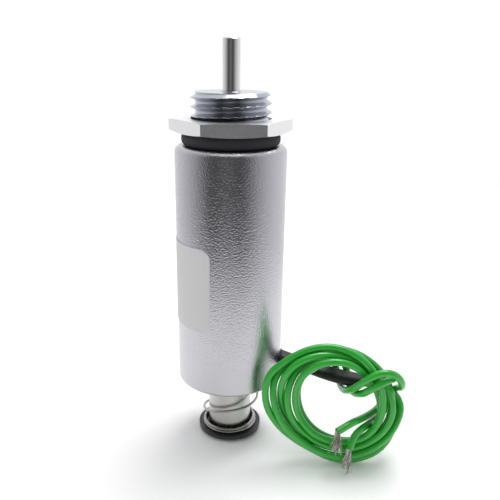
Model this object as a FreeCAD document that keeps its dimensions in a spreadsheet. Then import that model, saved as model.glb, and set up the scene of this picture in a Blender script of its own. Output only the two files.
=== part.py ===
"""Tubular push pull solenoid with an M18 bushing, a push pin and two green leads.

Millimetres. The axis of the solenoid is Z, and z = 0 is the plunger's outer end, on which the
solenoid stands. The leads leave the case towards +X and lie in an upright coil on the -Y side.
"""
import FreeCAD, Part
import math
import os
import re
import Sketcher

Vector = FreeCAD.Vector
UP = Vector(0, 0, 1)

SIZES = (
    # Case and rear end
    ("case_dia", 25.4, "outside diameter of the case"),
    ("case_low", 15.94, "height of the case's rear edge at rest"),
    ("case_length", 57.5, "length of the case"),
    ("case_wall", 1.5, "side wall"),
    ("front_thick", 1.5, "closed front end of the case"),
    ("shoulder_round", 1.6, "outer radius at the case's front edge"),
    ("rear_round", 0.7, "outer radius of the rolled rear edge"),
    ("crimp_thick", 0.8, "rolled lip under the rear end plate"),
    ("crimp_reach", 0.9, "how far the rolled lip reaches in"),
    ("plate_thick", 2.0, "rear end plate"),
    ("fit_gap", 0.05, "radial gap of a seated piece"),
    ("end_play", 0.1, "gap at the ends of a seated piece"),
    # Plunger and pin
    ("plunger_dia", 10.6, "plunger"),
    ("plunger_length", 37.2, "plunger from its outer end to its shoulder"),
    ("plunger_bevel", 0.4, "chamfer at the plunger's outer end"),
    ("nose_base_dia", 9.2, "cone at the plunger's shoulder"),
    ("nose_tip_dia", 6.4, "flat end of the cone"),
    ("nose_length", 3.0, "height of the cone"),
    ("plunger_stroke", 10.0, "travel of the plunger"),
    ("pole_gap", 0.3, "shoulder to pole at full travel"),
    ("cone_gap", 0.25, "radial gap of the nose in the pole's cone"),
    ("pin_dia", 3.94, "push pin"),
    ("pin_socket", 8.0, "depth of the pin in the plunger"),
    ("pin_proud", 11.3, "pin beyond the bushing at rest"),
    ("pin_bevel", 0.25, "chamfer at the pin's ends"),
    ("washer_thick", 0.5, "stop washer on the nose"),
    ("washer_dia", 6.0, "stop washer outside"),
    ("washer_gap", 0.1, "stop washer to pole at full travel"),
    # Clip and spring
    ("clip_low", 0.9, "underside of the clip"),
    ("clip_thick", 1.0, "thickness of the clip"),
    ("clip_dia", 15.7, "outside of the clip"),
    ("clip_mouth", 6.6, "opening of the clip"),
    ("groove_dia", 8.0, "bottom of the plunger's clip groove"),
    ("groove_gap", 0.04, "clip to groove, each side"),
    ("lobe_dia", 3.0, "relief holes beside the clip's front lug"),
    ("lobe_turn", 22.0, "relief holes in front of the clip's centre line, degrees"),
    ("wire_dia", 0.55, "spring wire"),
    ("spring_dia", 12.9, "mean diameter of the spring"),
    ("spring_turns", 2.0, "open turns of the spring"),
    ("turn_gap", 0.02, "between the spring's closed turns"),
    # Bushing, nut and seal
    ("bushing_dia", 18.0, "M18 thread, outside"),
    ("bushing_proud", 11.5, "bushing above the case"),
    ("bushing_bevel", 0.9, "chamfer at the thread's end"),
    ("flange_thick", 3.0, "bushing flange inside the case"),
    ("core_dia", 10.7, "pole that reaches into the winding"),
    ("pin_bore", 4.4, "bore at the bushing's front face"),
    ("bearing_dia", 5.4, "bearing outside"),
    ("bearing_bore", 4.06, "bearing bore"),
    ("bearing_length", 10.0, "bearing"),
    ("bearing_depth", 2.0, "wall between the bearing and the front face"),
    ("seal_height", 2.8, "rubber ring between case and nut"),
    ("seal_share", 0.58, "how much of the case's front face the rubber ring covers"),
    ("seal_round", 1.15, "rounding of the rubber ring's rim"),
    ("nut_thick", 3.0, "hex nut"),
    ("nut_flats", 24.0, "hex nut across flats"),
    ("nut_gap", 0.08, "radial gap of the nut on the thread"),
    ("nut_turn", 6.13, "how far the nut is turned about the axis, degrees"),
    ("nut_inset", 0.2, "the nut's chamfers start this far inside its flats"),
    ("nut_bevel", 0.5, "height of the nut's lower chamfer at its corners"),
    ("nut_break", 0.2, "height of the nut's upper chamfer at its corners"),
    # Winding
    ("tube_gap", 0.1, "radial gap between plunger and guide tube"),
    ("tube_wall", 0.4, "guide tube"),
    ("hub_wall", 0.85, "bobbin hub"),
    ("bobbin_gap", 0.15, "radial gap between bobbin flanges and case"),
    ("bobbin_flange", 0.8, "thickness of a bobbin flange"),
    ("winding_share", 0.575, "how much of the bobbin's depth the winding fills"),
    ("tape_thick", 0.2, "insulation over the winding"),
    # Leads
    ("lead_dia", 1.7, "each lead over its insulation"),
    ("lead_apart", 1.84, "between the two leads at the exit"),
    ("exit_height", 20.5, "height of the leads' exit"),
    ("sleeve_wall", 0.35, "black sleeve over the leads"),
    ("sleeve_gap", 0.1, "leads to sleeve"),
    ("grommet_wall", 0.6, "bush in the case wall"),
    ("grommet_proud", 0.3, "bush beyond the case wall"),
    ("tab_width", 1.2, "terminal tab"),
    ("tab_thick", 0.4, "terminal tab"),
    ("tab_height", 3.2, "terminal tab above the bobbin flange"),
    ("strand_dia", 1.05, "tinned conductor in the lead"),
    ("fray_dia", 1.58, "conductor's strands spread at the tip"),
    ("coil_depth", 5.1, "coil from front to back, three leads"),
    # Label
    ("label_low", 31.8, "lower edge of the label"),
    ("label_height", 20.1, "label"),
    ("label_width", 22.0, "label round the case"),
    ("label_thick", 0.1, "label"),
    ("label_round", 2.0, "label corners"),
    ("label_edge", 107.8, "label's front edge, degrees from +X towards -Y"),
)

document = FreeCAD.newDocument("PushPullSolenoid")
sheet = document.addObject("Spreadsheet::Sheet", "Sizes")
for row, (alias, number, meaning) in enumerate(SIZES, start=1):
    sheet.set(f"A{row}", meaning)
    sheet.set(f"B{row}", str(number))
    sheet.setAlias(f"B{row}", alias)
document.recompute()


def bound(expression):
    """The expression with every size read from the sheet."""
    return re.sub(r"\b([a-z]+(?:_[a-z]+)+)\b", r"Sizes.\1", expression)


def size(expression):
    """The value of an expression of sizes, in millimetres."""
    result = sheet.evalExpression(bound(expression))
    return float(getattr(result, "Value", result))


def bind(thing, attribute, expression):
    """Ties an attribute of a document object to an expression of sizes."""
    thing.setExpression(attribute, bound(expression))


# Heights and radii that more than one piece takes up
CASE_INNER = "case_dia / 2 - case_wall"
CASE_TOP = "case_low + case_length"
PLATE_LOW = "case_low + crimp_thick"
PLATE_TOP = f"{PLATE_LOW} + plate_thick"
FLANGE_TOP = f"{CASE_TOP} - front_thick"
FLANGE_LOW = f"{FLANGE_TOP} - flange_thick"
BUSHING_TOP = f"{CASE_TOP} + bushing_proud"
POLE_LOW = "plunger_length + plunger_stroke + pole_gap"
POLE_CONE_TOP = f"{POLE_LOW} + nose_length + washer_thick + washer_gap - pole_gap"
TUBE_INNER = "plunger_dia / 2 + tube_gap"
TUBE_OUTER = f"{TUBE_INNER} + tube_wall"
BOBBIN_LOW = f"{PLATE_TOP} + end_play"
BOBBIN_TOP = f"{FLANGE_LOW} - end_play"
BOBBIN_BORE = f"{TUBE_OUTER} + fit_gap"
HUB_OUTER = f"{BOBBIN_BORE} + hub_wall"
WINDING_LOW = f"{BOBBIN_LOW} + bobbin_flange + end_play"
WINDING_TOP = f"{BOBBIN_TOP} - bobbin_flange - end_play"
BOBBIN_OUTER = f"{CASE_INNER} - bobbin_gap"
WINDING_OUTER = f"{HUB_OUTER} + winding_share * ({BOBBIN_OUTER} - ({HUB_OUTER}))"
TAPE_OUTER = f"{WINDING_OUTER} + fit_gap + tape_thick"
CLIP_TOP = "clip_low + clip_thick"
NUT_LOW = f"{CASE_TOP} + seal_height"
SEAL_OUTER = "bushing_dia / 2 + seal_share * (case_dia - bushing_dia) / 2"
SLEEVE_BOW = "lead_dia / 2 + sleeve_gap"
GROMMET_BOW = f"{SLEEVE_BOW} + grommet_wall"

# A cutting section reaches this many times past what it cuts
BEYOND = 1.1
# Flats round the spring's wire
WIRE_FLATS = 8


def new_body(label):
    """An empty body for one sub-part."""
    body = document.addObject("PartDesign::Body", label)
    body.Label = label
    body.Placement = FreeCAD.Placement()
    return body


def sketch_on(body, name, role):
    """A sketch on one of the body's own origin planes."""
    sketch = body.newObject("Sketcher::SketchObject", name)
    plane = next(item for item in body.Origin.OriginFeatures if item.Role == role)
    sketch.AttachmentSupport = [(plane, "")]
    sketch.MapMode = "FlatFace"
    return sketch


def constrain(sketch, kind, geometry, point, expression):
    """A driving distance of one point from the sketch's origin, tied to sizes."""
    index = sketch.addConstraint(Sketcher.Constraint(kind, geometry, point, size(expression)))
    bind(sketch, f"Constraints[{index}]", expression)


def add_outline(sketch, corners):
    """A closed outline of straight sides through corners given as pairs of expressions."""
    points = [Vector(size(across), size(along), 0) for across, along in corners]
    first = sketch.GeometryCount
    for start, end in zip(points, points[1:] + points[:1]):
        sketch.addGeometry(Part.LineSegment(start, end), False)
    for number, (across, along) in enumerate(corners):
        following = (number + 1) % len(corners)
        joint = Sketcher.Constraint("Coincident", first + number, 2, first + following, 1)
        sketch.addConstraint(joint)
        constrain(sketch, "DistanceX", first + number, 1, across)
        constrain(sketch, "DistanceY", first + number, 1, along)


def polygon(count, inner, across="0", along="0", turn=0):
    """Corners of an even-sided outline about a centre, given its inner radius."""
    corner = f"({inner}) / cos({180 / count} deg)"
    corners = []
    for number in range(count):
        angle = turn + 360 * number / count
        corners.append((
            f"{across} + {corner} * cos({angle} deg)",
            f"{along} + {corner} * sin({angle} deg)",
        ))
    return corners


def add_circle(sketch, radius, across="0", along="0"):
    """A circle whose radius and centre are tied to sizes."""
    centre = Vector(size(across), size(along), 0)
    index = sketch.addGeometry(Part.Circle(centre, UP, size(radius)), False)
    constraint = sketch.addConstraint(Sketcher.Constraint("Radius", index, size(radius)))
    bind(sketch, f"Constraints[{constraint}]", radius)
    constrain(sketch, "DistanceX", index, 3, across)
    constrain(sketch, "DistanceY", index, 3, along)


def revolve(body, corners, name="Turned"):
    """A turned solid about Z from an outline of radii and heights."""
    sketch = sketch_on(body, f"{body.Label}_{name}_section", "XZ_Plane")
    add_outline(sketch, corners)
    turned = body.newObject("PartDesign::Revolution", f"{body.Label}_{name}")
    turned.Profile = sketch
    turned.ReferenceAxis = (sketch, ["V_Axis"])
    turned.Angle = 360
    document.recompute()
    return turned


def ring(label, inner, outer, low, high):
    """A plain turned ring."""
    body = new_body(label)
    revolve(body, [(inner, low), (outer, low), (outer, high), (inner, high)])
    return body


def circle_edges(shape, radius, height):
    """Names of the level circular edges of one radius at one height."""
    names = []
    for number, edge in enumerate(shape.Edges, start=1):
        curve = edge.Curve
        if not isinstance(curve, Part.Circle):
            continue
        same_radius = abs(curve.Radius - radius) < 1e-4
        if same_radius and abs(curve.Center.z - height) < 1e-4 and abs(curve.Axis.z) > 0.99:
            names.append(f"Edge{number}")
    return names


def soften(body, name, edges, radius):
    """A fillet on edges given by name."""
    before = body.Tip
    fillet = body.newObject("PartDesign::Fillet", f"{body.Label}_{name}")
    fillet.Base = (before, edges)
    bind(fillet, "Radius", radius)
    document.recompute()


def round_rims(body, name, amount, rims):
    """A fillet on turned rims given as pairs of radius and height."""
    edges = []
    for radius, height in rims:
        edges += circle_edges(body.Tip.Shape, size(radius), size(height))
    soften(body, name, edges, amount)


def cut_volume(feature, before):
    """Stops with a message when a cutting feature removed nothing."""
    if feature.Shape.Volume > before - 1e-3:
        raise RuntimeError(f"{feature.Label} cuts nothing")


def pocket(body, sketch, name, length):
    """A pocket towards the sketch plane's front, checked by volume."""
    before = body.Tip.Shape.Volume
    cut = body.newObject("PartDesign::Pocket", f"{body.Label}_{name}")
    cut.Profile = sketch
    cut.Reversed = True
    bind(cut, "Length", length)
    document.recompute()
    cut_volume(cut, before)
    return cut


def groove(body, name, corners):
    """A turned cut about Z from an outline of radii and heights, checked by volume."""
    section = sketch_on(body, f"{body.Label}_{name}_section", "XZ_Plane")
    add_outline(section, corners)
    before = body.Tip.Shape.Volume
    cut = body.newObject("PartDesign::Groove", f"{body.Label}_{name}")
    cut.Profile = section
    cut.ReferenceAxis = (section, ["V_Axis"])
    cut.Angle = 360
    document.recompute()
    cut_volume(cut, before)
    return cut


def pad(body, sketch, name, length, midplane=False):
    """A pad of one length from a sketch."""
    solid = body.newObject("PartDesign::Pad", f"{body.Label}_{name}")
    solid.Profile = sketch
    solid.Midplane = midplane
    bind(solid, "Length", length)
    document.recompute()
    return solid


def add_stadium(sketch, half_width, radius, height):
    """A level slot: two arcs and two straight sides about (0, height)."""
    reach = size(half_width)
    bow = size(radius)
    level = size(height)
    left = Vector(-reach, level, 0)
    right = Vector(reach, level, 0)
    lift = Vector(0, bow, 0)
    quarter = math.pi / 2
    start = sketch.GeometryCount
    sketch.addGeometry(Part.LineSegment(left - lift, right - lift), False)
    sketch.addGeometry(Part.ArcOfCircle(Part.Circle(right, UP, bow), -quarter, quarter), False)
    sketch.addGeometry(Part.LineSegment(right + lift, left + lift), False)
    sketch.addGeometry(Part.ArcOfCircle(Part.Circle(left, UP, bow), quarter, 3 * quarter), False)
    for number in range(4):
        following = start + (number + 1) % 4
        sketch.addConstraint(Sketcher.Constraint("Coincident", start + number, 2, following, 1))
    for arc, sign in ((start + 1, ""), (start + 3, "-")):
        constraint = sketch.addConstraint(Sketcher.Constraint("Radius", arc, bow))
        bind(sketch, f"Constraints[{constraint}]", radius)
        constrain(sketch, "DistanceX", arc, 3, f"{sign}({half_width})")
        constrain(sketch, "DistanceY", arc, 3, height)


def build_case():
    """Drawn case: side wall, closed front end, rolled rear lip and the hole for the leads."""
    body = new_body("case_shell")
    neck = "bushing_dia / 2 + fit_gap"
    lip = f"{CASE_INNER} - crimp_reach"
    revolve(body, [
        (lip, "case_low"),
        ("case_dia / 2", "case_low"),
        ("case_dia / 2", CASE_TOP),
        (neck, CASE_TOP),
        (neck, FLANGE_TOP),
        (CASE_INNER, FLANGE_TOP),
        (CASE_INNER, PLATE_LOW),
        (lip, PLATE_LOW),
    ])
    round_rims(body, "shoulder", "shoulder_round", [("case_dia / 2", CASE_TOP)])
    round_rims(body, "rear_edge", "rear_round", [("case_dia / 2", "case_low")])
    hole = sketch_on(body, "case_shell_lead_hole", "YZ_Plane")
    add_stadium(hole, "lead_apart / 2", f"{GROMMET_BOW} + fit_gap", "exit_height")
    pocket(body, hole, "lead_opening", "case_dia")
    return body


def build_grommet():
    """Bush in the case wall round both leads."""
    body = new_body("lead_grommet")
    face = sketch_on(body, "lead_grommet_face", "YZ_Plane")
    add_stadium(face, "lead_apart / 2", GROMMET_BOW, "exit_height")
    add_stadium(face, "lead_apart / 2", SLEEVE_BOW, "exit_height")
    pad(body, face, "bush", "case_wall + grommet_proud")
    body.Placement.Base = Vector(size(CASE_INNER), 0, 0)
    return body


def build_bushing():
    """Front pole piece: thread, flange under the case's end, and the pole with its cone."""
    body = new_body("threaded_bushing")
    thread = "bushing_dia / 2"
    bore = "bearing_dia / 2"
    bearing_top = f"{BUSHING_TOP} - bearing_depth"
    revolve(body, [
        ("pin_bore / 2", BUSHING_TOP),
        (f"{thread} - bushing_bevel", BUSHING_TOP),
        (thread, f"{BUSHING_TOP} - bushing_bevel"),
        (thread, FLANGE_TOP),
        (f"{CASE_INNER} - fit_gap", FLANGE_TOP),
        (f"{CASE_INNER} - fit_gap", FLANGE_LOW),
        ("core_dia / 2", FLANGE_LOW),
        ("core_dia / 2", POLE_LOW),
        ("nose_base_dia / 2 + cone_gap", POLE_LOW),
        ("nose_tip_dia / 2 + cone_gap", POLE_CONE_TOP),
        (bore, POLE_CONE_TOP),
        (bore, bearing_top),
        ("pin_bore / 2", bearing_top),
    ])
    return body


def build_nut():
    """Thin hex nut with a deep chamfer below and a light one above."""
    body = new_body("hex_nut")
    hexagon = sketch_on(body, "hex_nut_hexagon", "XY_Plane")
    corner = "nut_flats / sqrt(3)"
    add_outline(hexagon, polygon(6, "nut_flats / 2"))
    add_circle(hexagon, "bushing_dia / 2 + nut_gap")
    pad(body, hexagon, "blank", "nut_thick")
    inner = "nut_flats / 2 - nut_inset"
    outer = f"{corner} * {BEYOND}"
    drop = f"({outer} - ({inner})) / ({corner} - ({inner}))"
    for name, low, fall in (
        ("lower", "0", f"nut_bevel * {drop}"),
        ("upper", "nut_thick", f"-nut_break * {drop}"),
    ):
        groove(body, name, [(inner, low), (outer, low), (outer, f"{low} + {fall}")])
    turn = FreeCAD.Rotation(UP, size("nut_turn"))
    body.Placement = FreeCAD.Placement(Vector(0, 0, size(NUT_LOW)), turn)
    return body


def build_seal():
    """Rubber ring squeezed between the case and the nut."""
    body = ring("seal_ring", "bushing_dia / 2 + fit_gap", SEAL_OUTER, CASE_TOP, NUT_LOW)
    round_rims(body, "rim", "seal_round", [(SEAL_OUTER, CASE_TOP), (SEAL_OUTER, NUT_LOW)])
    return body


def build_plunger():
    """Plunger: clip groove at the outer end, cone and pin socket at the inner end."""
    body = new_body("plunger")
    radius = "plunger_dia / 2"
    groove = "groove_dia / 2"
    nose_top = "plunger_length + nose_length"
    socket = "pin_dia / 2"
    revolve(body, [
        ("0", "0"),
        (f"{radius} - plunger_bevel", "0"),
        (radius, "plunger_bevel"),
        (radius, "clip_low - groove_gap"),
        (groove, "clip_low - groove_gap"),
        (groove, f"{CLIP_TOP} + groove_gap"),
        (radius, f"{CLIP_TOP} + groove_gap"),
        (radius, "plunger_length"),
        ("nose_base_dia / 2", "plunger_length"),
        ("nose_tip_dia / 2", nose_top),
        (socket, nose_top),
        (socket, f"{nose_top} - pin_socket"),
        ("0", f"{nose_top} - pin_socket"),
    ])
    return body


def build_pin():
    """Push pin, pressed into the plunger and chamfered at both ends."""
    body = new_body("push_pin")
    radius = "pin_dia / 2"
    low = "plunger_length + nose_length - pin_socket"
    high = f"{BUSHING_TOP} + pin_proud"
    revolve(body, [
        ("0", low),
        (f"{radius} - pin_bevel", low),
        (radius, f"{low} + pin_bevel"),
        (radius, f"{high} - pin_bevel"),
        (f"{radius} - pin_bevel", high),
        ("0", high),
    ])
    return body


def build_clip():
    """Retaining clip: a flat ring with a mouth at the back and three lugs on the groove."""
    body = new_body("retaining_clip")
    blank = sketch_on(body, "retaining_clip_blank", "XY_Plane")
    add_circle(blank, "clip_dia / 2")
    add_circle(blank, "groove_dia / 2 + groove_gap")
    pad(body, blank, "plate", "clip_thick")
    half = "clip_mouth / 2"
    mouth = sketch_on(body, "retaining_clip_mouth_outline", "XY_Plane")
    add_outline(mouth, [
        (f"-{half}", "0"),
        (half, "0"),
        (half, "clip_dia"),
        (f"-{half}", "clip_dia"),
    ])
    pocket(body, mouth, "mouth", "clip_thick")
    reach = "groove_dia / 2"
    for side in ("", "-"):
        name = "left" if side else "right"
        relief = sketch_on(body, f"retaining_clip_{name}_outline", "XY_Plane")
        across = f"{side}{reach} * cos(lobe_turn * 1 deg)"
        add_circle(relief, "lobe_dia / 2", across, f"-{reach} * sin(lobe_turn * 1 deg)")
        pocket(body, relief, f"{name}_relief", "clip_thick")
    body.Placement.Base = Vector(0, 0, size("clip_low"))
    return body


def build_spring():
    """Return spring of round wire drawn with eight flats: open turns between two closed ones."""
    body = new_body("return_spring")
    mean = "spring_dia / 2"
    low = f"{CLIP_TOP} + end_play / 2 + wire_dia / 2"
    high = f"{PLATE_LOW} - end_play / 2 - wire_dia / 2"
    closed = "wire_dia + turn_gap"
    for name, start, end, turns in (
        ("lower_turn", low, f"{low} + {closed}", "1"),
        ("open_turns", f"{low} + {closed}", f"{high} - ({closed})", "spring_turns"),
        ("upper_turn", f"{high} - ({closed})", high, "1"),
    ):
        section = sketch_on(body, f"return_spring_{name}_section", "XZ_Plane")
        half_flat = 180 / WIRE_FLATS
        add_outline(section, polygon(WIRE_FLATS, "wire_dia / 2", mean, start, half_flat))
        coil = body.newObject("PartDesign::AdditiveHelix", f"return_spring_{name}")
        coil.Profile = section
        coil.ReferenceAxis = (section, ["V_Axis"])
        coil.Mode = "pitch-height-angle"
        bind(coil, "Pitch", f"({end} - ({start})) / {turns}")
        bind(coil, "Height", f"{end} - ({start})")
        document.recompute()
    return body


def build_tabs():
    """Two terminal tabs that stand on the bobbin's rear flange, behind the leads' ends."""
    tabs = []
    low = f"{BOBBIN_LOW} + bobbin_flange"
    for name, side in (("terminal_tab_a", -1), ("terminal_tab_b", 1)):
        body = new_body(name)
        face = sketch_on(body, f"{name}_outline", "XY_Plane")
        near = f"{TAPE_OUTER} + fit_gap"
        far = f"{near} + tab_thick"
        middle = f"{side} * lead_apart / 2"
        left = f"{middle} - tab_width / 2"
        right = f"{middle} + tab_width / 2"
        add_outline(face, [(near, left), (far, left), (far, right), (near, right)])
        pad(body, face, "blade", "tab_height")
        body.Placement.Base = Vector(0, 0, size(low))
        tabs.append(body)
    return tabs


def build_label():
    """Bare label with round corners, bent round the left side of the case."""
    body = new_body("label_sticker")
    radius = "case_dia / 2"
    spread = f"label_width / ({radius}) * 180 / pi"
    half = f"{radius} * sin({spread} / 2 * 1 deg)"
    outline = sketch_on(body, "label_sticker_outline", "YZ_Plane")
    add_outline(outline, [
        (f"-{half}", "0"),
        (half, "0"),
        (half, "label_height"),
        (f"-{half}", "label_height"),
    ])
    blank = pad(body, outline, "blank", f"{radius} * {BEYOND}")
    corners = [f"Edge{number}" for number, edge in enumerate(blank.Shape.Edges, start=1)
               if abs(edge.tangentAt(edge.FirstParameter).x) > 0.99]
    soften(body, "corners", corners, "label_round")
    face = f"{radius} + label_thick"
    groove(body, "back", [("0", "0"), (radius, "0"), (radius, "label_height"), ("0", "label_height")])
    groove(body, "face", [
        (face, "0"),
        ("case_dia", "0"),
        ("case_dia", "label_height"),
        (face, "label_height"),
    ])
    turn = FreeCAD.Rotation(UP, -size("label_edge") - size(spread) / 2)
    body.Placement = FreeCAD.Placement(Vector(0, 0, size("label_low")), turn)
    return body


# The first number of each point below is its distance from the case's side wall.
# Centre line of both leads from the bush to the far end of the sleeve, and on into the coil
SLEEVE_ROUTE = (
    (0.3, 0.0, 20.5),
    (6.1, -1.4, 19.0),
    (12.5, -5.6, 18.8),
    (19.1, -10.4, 19.9),
)
LEAD_END = (22.5, -13.2, 19.0)
# Direction from the centre line to the lead at the back
LEAD_SIDE = Vector(0.26, 0.966, 0)

# Loose ends, from the coil's inner right side to the end of the insulation
TAIL_A_ROUTE = (
    (23.5, -13.0, 13.6),
    (16.8, -17.3, 13.9),
    (12.9, -18.3, 11.4),
)
TAIL_B_ROUTE = (
    (23.6, -13.8, 12.9),
    (20.8, -15.9, 13.3),
    (18.4, -17.4, 12.3),
    (16.6, -18.2, 10.1),
    (15.9, -18.4, 6.9),
)
CONDUCTOR_A_TIP = (12.8, -18.9, 5.6)
CONDUCTOR_B_TIP = (15.2, -19.0, 0.9)

# The coil leans back about its foot; its outlines are ovals in its own plane, each given by
# its centre, half axes and turn in degrees
COIL_FOOT = (12.3, -15.0, 0.5)
COIL_LEAN = 6.0
COIL_OUTSIDE = ((1.0, 14.6), 17.2, 14.0, -25.8)
COIL_INSIDE = ((0.7, 14.7), 10.9, 6.9, -49.4)
COIL_WRAP = ((10.2, 21.0), 6.6, 4.4, 25.0)

# Share of the shorter run that each arc takes up at a corner
ARC_SHARE = 0.45


def beside_case(point):
    """A place given by its distance from the case's side wall, its depth and its height."""
    out, across, height = point
    return Vector(size("case_dia / 2") + out, across, height)


def rounded_path(corners):
    """Straight runs joined by tangent arcs, each as large as its two runs allow."""
    edges = []
    radii = []
    start = corners[0]
    for before, corner, after in zip(corners, corners[1:], corners[2:]):
        back = (before - corner).normalize()
        ahead = (after - corner).normalize()
        half_turn = (math.pi - back.getAngle(ahead)) / 2
        reach = ARC_SHARE * min((before - corner).Length, (after - corner).Length)
        radius = reach / math.tan(half_turn)
        middle = (back + ahead).normalize()
        top = corner + middle * (radius / math.cos(half_turn) - radius)
        entry = corner + back * reach
        leave = corner + ahead * reach
        edges.append(Part.LineSegment(start, entry).toShape())
        edges.append(Part.Arc(entry, top, leave).toShape())
        radii.append(radius)
        start = leave
    edges.append(Part.LineSegment(start, corners[-1]).toShape())
    return Part.Wire(edges), radii


def sweep(path, section):
    """A solid along a path with its section kept upright."""
    shell = Part.BRepOffsetAPI.MakePipeShell(path)
    shell.setBiNormalMode(UP)
    shell.add(section)
    shell.build()
    shell.makeSolid()
    return shell.shape()


def tube_along(label, corners, diameter):
    """A plain cord along a route, with its radii and volume printed."""
    path, radii = rounded_path(corners)
    circle = Part.Wire(Part.makeCircle(diameter / 2, corners[0], corners[1] - corners[0]))
    solid = path.makePipeShell([circle], True, False)
    expected = math.pi * diameter ** 2 / 4 * path.Length
    rounded = ", ".join(f"{radius:.1f}" for radius in radii)
    print(f"{label}: length {path.Length:.1f}, volume ratio {solid.Volume / expected:.4f}, radii {rounded}")
    return add_feature(label, solid)


def add_feature(label, shape):
    """A document object that holds a finished shape."""
    feature = document.addObject("Part::Feature", label)
    feature.Label = label
    feature.Shape = shape
    feature.Placement = FreeCAD.Placement()
    return feature


def stadium_wire(radius, half_width, centre):
    """A slot-shaped wire across +X about a centre."""
    side = Vector(0, half_width, 0)
    lift = Vector(0, 0, radius)
    low_left, low_right = centre - side - lift, centre + side - lift
    high_left, high_right = centre - side + lift, centre + side + lift
    bow = Vector(0, radius, 0)
    return Part.Wire([
        Part.LineSegment(low_left, low_right).toShape(),
        Part.Arc(low_right, centre + side + bow, high_right).toShape(),
        Part.LineSegment(high_right, high_left).toShape(),
        Part.Arc(high_left, centre - side - bow, low_left).toShape(),
    ])


def build_sleeve():
    """Flat black sleeve over both leads."""
    route = [beside_case(point) for point in SLEEVE_ROUTE]
    path, _ = rounded_path(route)
    inside = size(SLEEVE_BOW)
    apart = size("lead_apart / 2")
    outer = sweep(path, stadium_wire(inside + size("sleeve_wall"), apart, route[0]))
    inner = sweep(path, stadium_wire(inside, apart, route[0]))
    return add_feature("lead_sleeve", outer.cut(inner))


def build_leads():
    """Both leads from the terminals through the bush and the sleeve to the coil."""
    leads = []
    inside = size(f"{TAPE_OUTER} + 2 * fit_gap + tab_thick")
    for name, side in (("lead_a_run", -0.5), ("lead_b_run", 0.5)):
        offset = LEAD_SIDE * (side * size("lead_apart"))
        start = Vector(inside, offset.y, size("exit_height"))
        route = [beside_case(point) + offset for point in (*SLEEVE_ROUTE, LEAD_END)]
        leads.append(tube_along(name, [start, *route], size("lead_dia")))
    return leads


def build_tails():
    """The loose ends of both leads and their stripped conductors."""
    pieces = []
    for name, route, tip in (
        ("a", TAIL_A_ROUTE, CONDUCTOR_A_TIP),
        ("b", TAIL_B_ROUTE, CONDUCTOR_B_TIP),
    ):
        corners = [beside_case(point) for point in route]
        pieces.append(tube_along(f"lead_{name}_tail", corners, size("lead_dia")))
        end = corners[-1]
        reach = beside_case(tip) - end
        conductor = Part.makeCone(size("strand_dia / 2"), size("fray_dia / 2"), reach.Length, end, reach)
        pieces.append(add_feature(f"conductor_{name}", conductor))
    return pieces


def add_oval(sketch, oval):
    """An oval of four tangent arcs, given by its centre, half axes and turn in degrees."""
    (across, along), major, minor, turn = oval
    diagonal = math.hypot(major, minor)
    end_radius = diagonal * (diagonal - major + minor) / (2 * major)
    side_radius = diagonal * (diagonal + major - minor) / (2 * minor)
    join = math.atan2(side_radius - minor, major - end_radius)
    tilt = math.radians(turn)
    for centre, radius, start, stop in (
        ((major - end_radius, 0), end_radius, -join, join),
        ((0, minor - side_radius), side_radius, join, math.pi - join),
        ((end_radius - major, 0), end_radius, math.pi - join, math.pi + join),
        ((0, side_radius - minor), side_radius, math.pi + join, 2 * math.pi - join),
    ):
        u, v = centre
        middle = Vector(
            across + u * math.cos(tilt) - v * math.sin(tilt),
            along + u * math.sin(tilt) + v * math.cos(tilt),
            0,
        )
        arc = Part.ArcOfCircle(Part.Circle(middle, UP, radius), start + tilt, stop + tilt)
        index = sketch.addGeometry(arc, False)
        sketch.addConstraint(Sketcher.Constraint("Block", index))


def build_coil():
    """Outer shape of the coiled stretch of both leads, leaning back on the floor."""
    body = new_body("lead_coil")
    for name, outlines, depth in (
        ("bundle", (COIL_OUTSIDE, COIL_INSIDE), "coil_depth"),
        ("wrap", (COIL_WRAP,), "coil_depth + 2 * lead_dia"),
    ):
        face = sketch_on(body, f"lead_coil_{name}_outline", "XZ_Plane")
        for outline in outlines:
            add_oval(face, outline)
        solid = pad(body, face, name, depth, midplane=True)
        half = size(depth) / 2
        rims = [f"Edge{number}" for number, edge in enumerate(solid.Shape.Edges, start=1)
                if isinstance(edge.Curve, Part.Circle) and abs(abs(edge.Curve.Center.y) - half) < 1e-6]
        soften(body, f"{name}_rims", rims, "lead_dia / 2")
    lean = FreeCAD.Rotation(Vector(1, 0, 0), -COIL_LEAN)
    body.Placement = FreeCAD.Placement(beside_case(COIL_FOOT), lean)
    return body


pieces = [
    build_case(),
    ring("rear_end_plate", f"{TUBE_OUTER} + fit_gap", f"{CASE_INNER} - fit_gap", PLATE_LOW, PLATE_TOP),
    ring("guide_tube", TUBE_INNER, TUBE_OUTER, PLATE_LOW, f"{FLANGE_LOW} - end_play"),
    build_bushing(),
    ring("pin_bearing", "bearing_bore / 2", "bearing_dia / 2",
         f"{BUSHING_TOP} - bearing_depth - bearing_length", f"{BUSHING_TOP} - bearing_depth"),
    ring("copper_winding", f"{HUB_OUTER} + fit_gap", WINDING_OUTER, WINDING_LOW, WINDING_TOP),
    ring("insulation_tape", f"{WINDING_OUTER} + fit_gap", TAPE_OUTER, WINDING_LOW, WINDING_TOP),
    ring("stop_washer", "pin_dia / 2 + fit_gap", "washer_dia / 2", "plunger_length + nose_length",
         "plunger_length + nose_length + washer_thick"),
    build_nut(),
    build_seal(),
    build_plunger(),
    build_pin(),
    build_clip(),
    build_spring(),
    build_grommet(),
    build_sleeve(),
    build_coil(),
    build_label(),
]

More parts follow.
